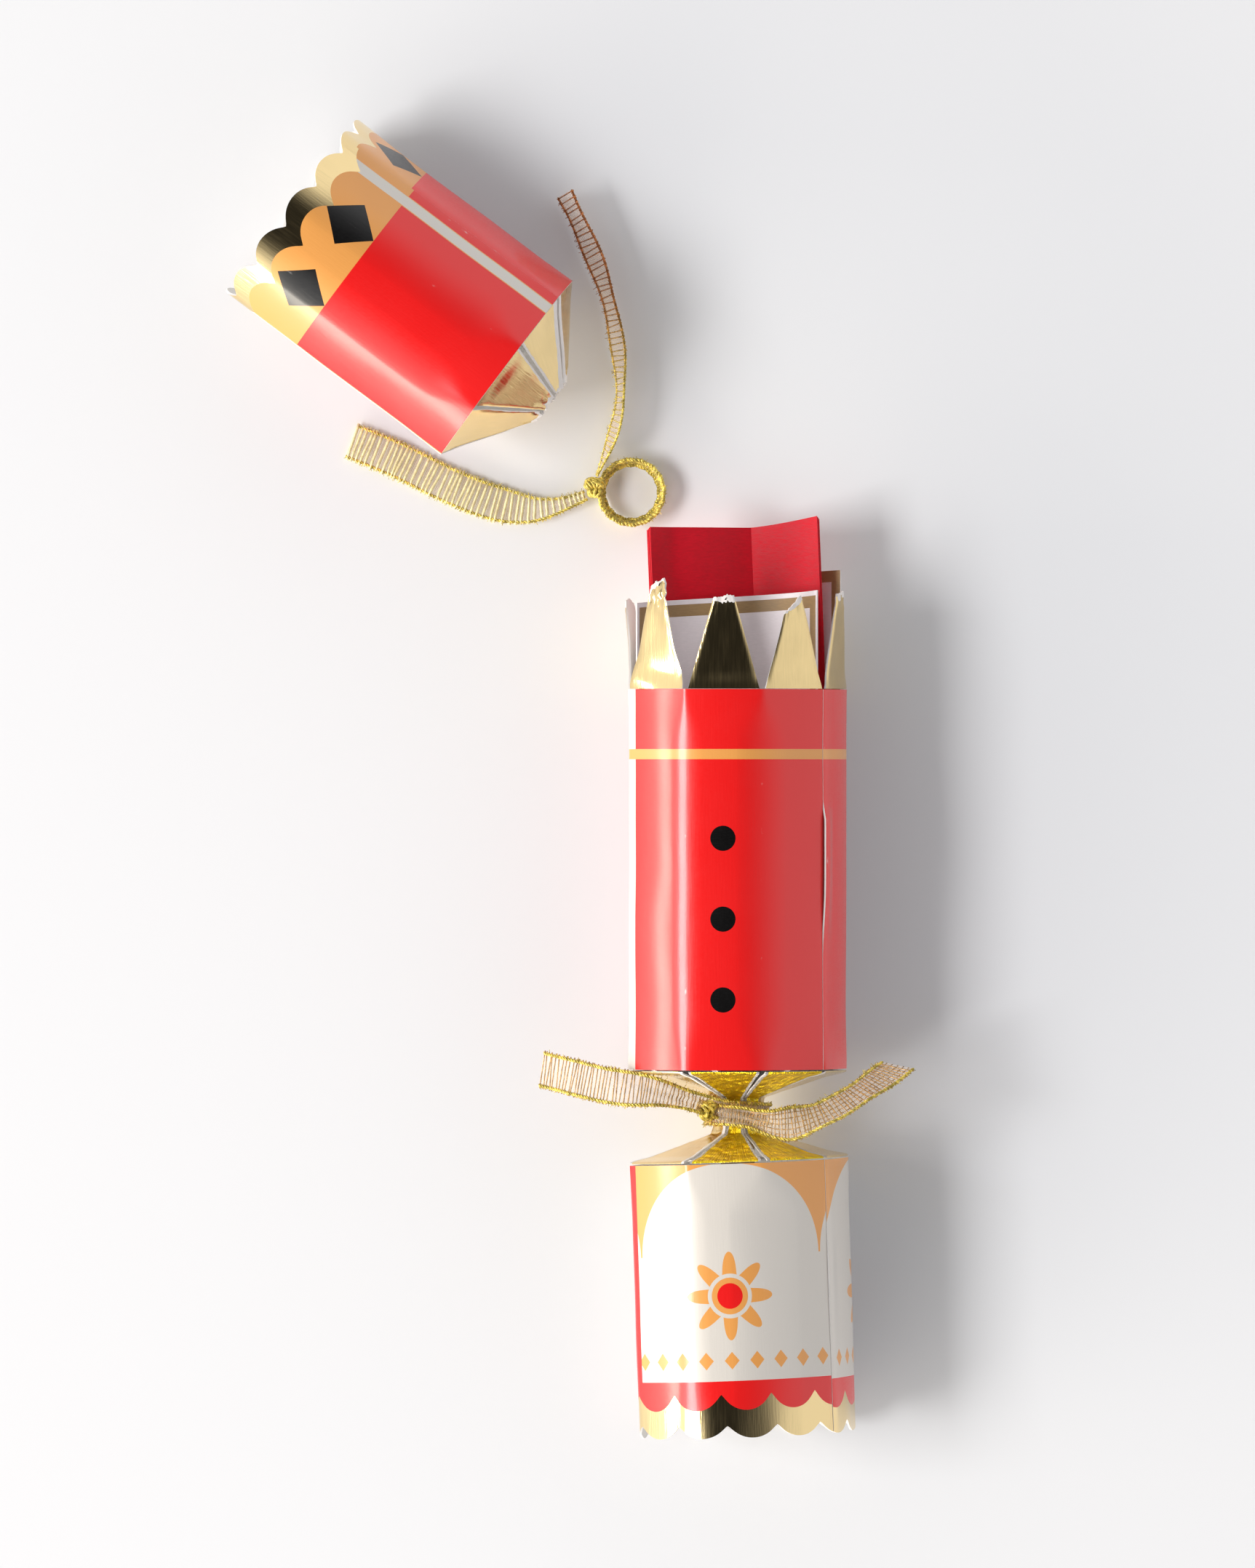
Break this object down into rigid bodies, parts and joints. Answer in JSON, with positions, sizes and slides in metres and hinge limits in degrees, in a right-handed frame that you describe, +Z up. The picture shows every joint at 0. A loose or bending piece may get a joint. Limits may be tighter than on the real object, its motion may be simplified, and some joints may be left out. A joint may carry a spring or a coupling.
{
  "type": "christmas cracker",
  "caption": "Pulled christmas cracker in printed card and gold foil, tied with gold mesh ribbon, with its torn-off end, paper hat and motto cards.",
  "frame": {"origin": "on the table under the barrel's axis, half way along the barrel, on the panel that it rests on", "axes": "+Y along the barrel from the tied neck to the torn mouth, +X to the right seen from above, +Z up from the table"},
  "size_m": [0.1567, 0.2998, 0.0395],
  "materials": {
    "printed_card": "gloss",
    "gold_card": "metallic foil",
    "card_reverse": "matte",
    "motto_card": "matte",
    "tissue": "matte",
    "snap_card": "matte",
    "ribbon_mesh": "metallic thread"
  },
  "bodies": {
    "barrel": {"barrel_sleeve": "printed_card", "barrel_glue_tab": "card_reverse", "barrel_neck_panels": "gold_card", "tied_ribbon_wrap": "ribbon_mesh", "tied_ribbon_knot": "ribbon_mesh", "tied_ribbon_tail_left": "ribbon_mesh", "tied_ribbon_tail_right": "ribbon_mesh", "snap_strip_barrel": "snap_card"},
    "lower_end": {"lower_end_sleeve": "printed_card", "lower_end_glue_tab": "card_reverse", "lower_end_neck_panels": "gold_card"},
    "torn_end": {"torn_end_sleeve": "printed_card", "torn_end_glue_tab": "card_reverse", "snap_strip_torn": "snap_card"},
    "loose_ribbon": {"loose_ribbon_loop": "ribbon_mesh", "loose_ribbon_knot": "ribbon_mesh", "loose_ribbon_tail_left": "ribbon_mesh", "loose_ribbon_tail_right": "ribbon_mesh"},
    "hat": {"paper_hat": "tissue"},
    "front_card": {"motto_card_front": "motto_card"},
    "back_card": {"motto_card_back": "motto_card"},
    "crown_1": {"crown_point_1": "gold_card"},
    "crown_2": {"crown_point_2": "gold_card"},
    "crown_3": {"crown_point_3": "gold_card"},
    "crown_4": {"crown_point_4": "gold_card"},
    "crown_5": {"crown_point_5": "gold_card"},
    "crown_6": {"crown_point_6": "gold_card"},
    "crown_7": {"crown_point_7": "gold_card"},
    "crown_8": {"crown_point_8": "gold_card"},
    "torn_1": {"torn_point_1": "gold_card"},
    "torn_2": {"torn_point_2": "gold_card"},
    "torn_3": {"torn_point_3": "gold_card"},
    "torn_4": {"torn_point_4": "gold_card"},
    "torn_5": {"torn_point_5": "gold_card"},
    "torn_6": {"torn_point_6": "gold_card"},
    "torn_7": {"torn_point_7": "gold_card"},
    "torn_8": {"torn_point_8": "gold_card"}
  },
  "joints": [
    {"name": "waist_bend", "type": "hinge", "parent": "barrel", "child": "lower_end", "pos_m": [0, -0.05355, 0.01973], "axis": [0, 0, 1], "range_deg": [-4, 4]},
    {"name": "torn_end_slide", "type": "slide", "parent": "barrel", "child": "torn_end", "axis": [-0.8, 0.6, 0], "range_m": [0, 0.06]},
    {"name": "loose_ribbon_lift", "type": "slide", "parent": "barrel", "child": "loose_ribbon", "axis": [0, 0, 1], "range_m": [0, 0.06]},
    {"name": "hat_pull", "type": "slide", "parent": "barrel", "child": "hat", "axis": [0, 1, 0], "range_m": [-0.02, 0.1]},
    {"name": "front_card_pull", "type": "slide", "parent": "barrel", "child": "front_card", "axis": [0, 1, 0], "range_m": [-0.02, 0.08]},
    {"name": "back_card_pull", "type": "slide", "parent": "barrel", "child": "back_card", "axis": [0, 1, 0], "range_m": [-0.02, 0.08]},
    {"name": "crown_fold_1", "type": "hinge", "parent": "barrel", "child": "crown_1", "pos_m": [-0.01848, 0.04305, 0.03343], "axis": [0.7278, 0, 0.6858], "range_deg": [-30, 70]},
    {"name": "crown_fold_2", "type": "hinge", "parent": "barrel", "child": "crown_2", "pos_m": [-0.00328, 0.04305, 0.03946], "axis": [1, 0, 0], "range_deg": [-40, 75]},
    {"name": "crown_fold_3", "type": "hinge", "parent": "barrel", "child": "crown_3", "pos_m": [0.01254, 0.04305, 0.03415], "axis": [0.7976, 0, -0.6032], "range_deg": [-30, 70]},
    {"name": "crown_fold_4", "type": "hinge", "parent": "barrel", "child": "crown_4", "pos_m": [0.02222, 0.04305, 0.02046], "axis": [0.3024, 0, -0.9532], "range_deg": [-25, 60]},
    {"name": "crown_fold_5", "type": "hinge", "parent": "barrel", "child": "crown_5", "pos_m": [0.01848, 0.04305, 0.00604], "axis": [-0.7278, 0, -0.6858], "range_deg": [-4, 15]},
    {"name": "crown_fold_6", "type": "hinge", "parent": "barrel", "child": "crown_6", "pos_m": [0.00328, 0.04305, 0], "axis": [-1, 0, 0], "range_deg": [-13, 0]},
    {"name": "crown_fold_7", "type": "hinge", "parent": "barrel", "child": "crown_7", "pos_m": [-0.01254, 0.04305, 0.00531], "axis": [-0.7976, 0, 0.6032], "range_deg": [-11, 12]},
    {"name": "crown_fold_8", "type": "hinge", "parent": "barrel", "child": "crown_8", "pos_m": [-0.02222, 0.04305, 0.01901], "axis": [-0.3024, 0, 0.9532], "range_deg": [-13, 40]},
    {"name": "torn_fold_1", "type": "hinge", "parent": "torn_end", "child": "torn_1", "pos_m": [-0.06349, 0.10132, 0.03343], "axis": [-0.4367, -0.5822, -0.6858], "range_deg": [-2, 80]},
    {"name": "torn_fold_2", "type": "hinge", "parent": "torn_end", "child": "torn_2", "pos_m": [-0.05436, 0.11348, 0.03946], "axis": [-0.6, -0.8, 0], "range_deg": [-2, 85]},
    {"name": "torn_fold_3", "type": "hinge", "parent": "torn_end", "child": "torn_3", "pos_m": [-0.04487, 0.12613, 0.03415], "axis": [-0.4786, -0.6381, 0.6032], "range_deg": [-2, 80]},
    {"name": "torn_fold_4", "type": "hinge", "parent": "torn_end", "child": "torn_4", "pos_m": [-0.03907, 0.13388, 0.02046], "axis": [-0.1814, -0.2419, 0.9532], "range_deg": [-2, 75]},
    {"name": "torn_fold_5", "type": "hinge", "parent": "torn_end", "child": "torn_5", "pos_m": [-0.04131, 0.13088, 0.00604], "axis": [0.4367, 0.5822, 0.6858], "range_deg": [-2, 32]},
    {"name": "torn_fold_6", "type": "hinge", "parent": "torn_end", "child": "torn_6", "pos_m": [-0.05044, 0.11872, 0], "axis": [0.6, 0.8, 0], "range_deg": [-2, 48]},
    {"name": "torn_fold_7", "type": "hinge", "parent": "torn_end", "child": "torn_7", "pos_m": [-0.05993, 0.10607, 0.00531], "axis": [0.4786, 0.6381, -0.6032], "range_deg": [-2, 52]},
    {"name": "torn_fold_8", "type": "hinge", "parent": "torn_end", "child": "torn_8", "pos_m": [-0.06573, 0.09832, 0.01901], "axis": [0.1814, 0.2419, -0.9532], "range_deg": [-2, 70]}
  ]
}
